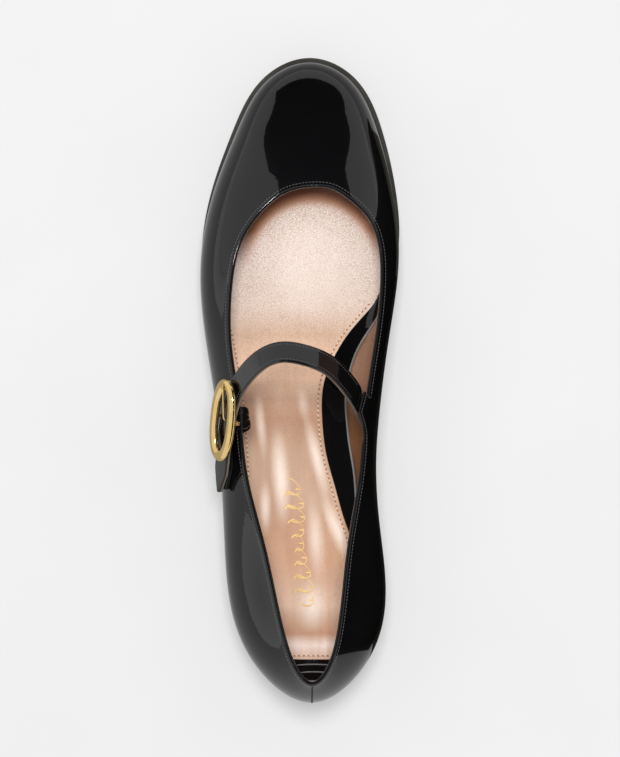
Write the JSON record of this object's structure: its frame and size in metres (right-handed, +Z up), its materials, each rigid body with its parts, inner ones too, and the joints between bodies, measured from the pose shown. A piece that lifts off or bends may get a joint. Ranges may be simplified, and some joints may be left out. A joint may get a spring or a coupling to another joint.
{
  "type": "ballet flat",
  "caption": "Black patent leather ballet flat, left shoe, with rounded toe, low block heel, pale leather sock and an instep strap fastened by an oval gold buckle.",
  "frame": {"origin": "on the ground under the middle of the shoe's box", "axes": "+Y to the toe, +X to the inner side of the foot, -X to the outer side with the buckle, +Z up"},
  "size_m": [0.0774, 0.2498, 0.0679],
  "materials": {
    "sole_rubber": "satin black rubber",
    "heel_rubber": "satin black block",
    "footbed_patent": "glossy black patent cover",
    "patent_leather": "mirror-gloss black patent leather",
    "strap_patent": "mirror-gloss black patent leather",
    "tab_patent": "mirror-gloss black patent leather",
    "gold_metal": "polished gold plating"
  },
  "bodies": {
    "root": {"outsole": "sole_rubber", "heel": "heel_rubber", "insole": "footbed_patent", "upper": "patent_leather", "strap": "strap_patent", "buckle_tab": "tab_patent", "buckle": "gold_metal"}
  },
  "joints": []
}
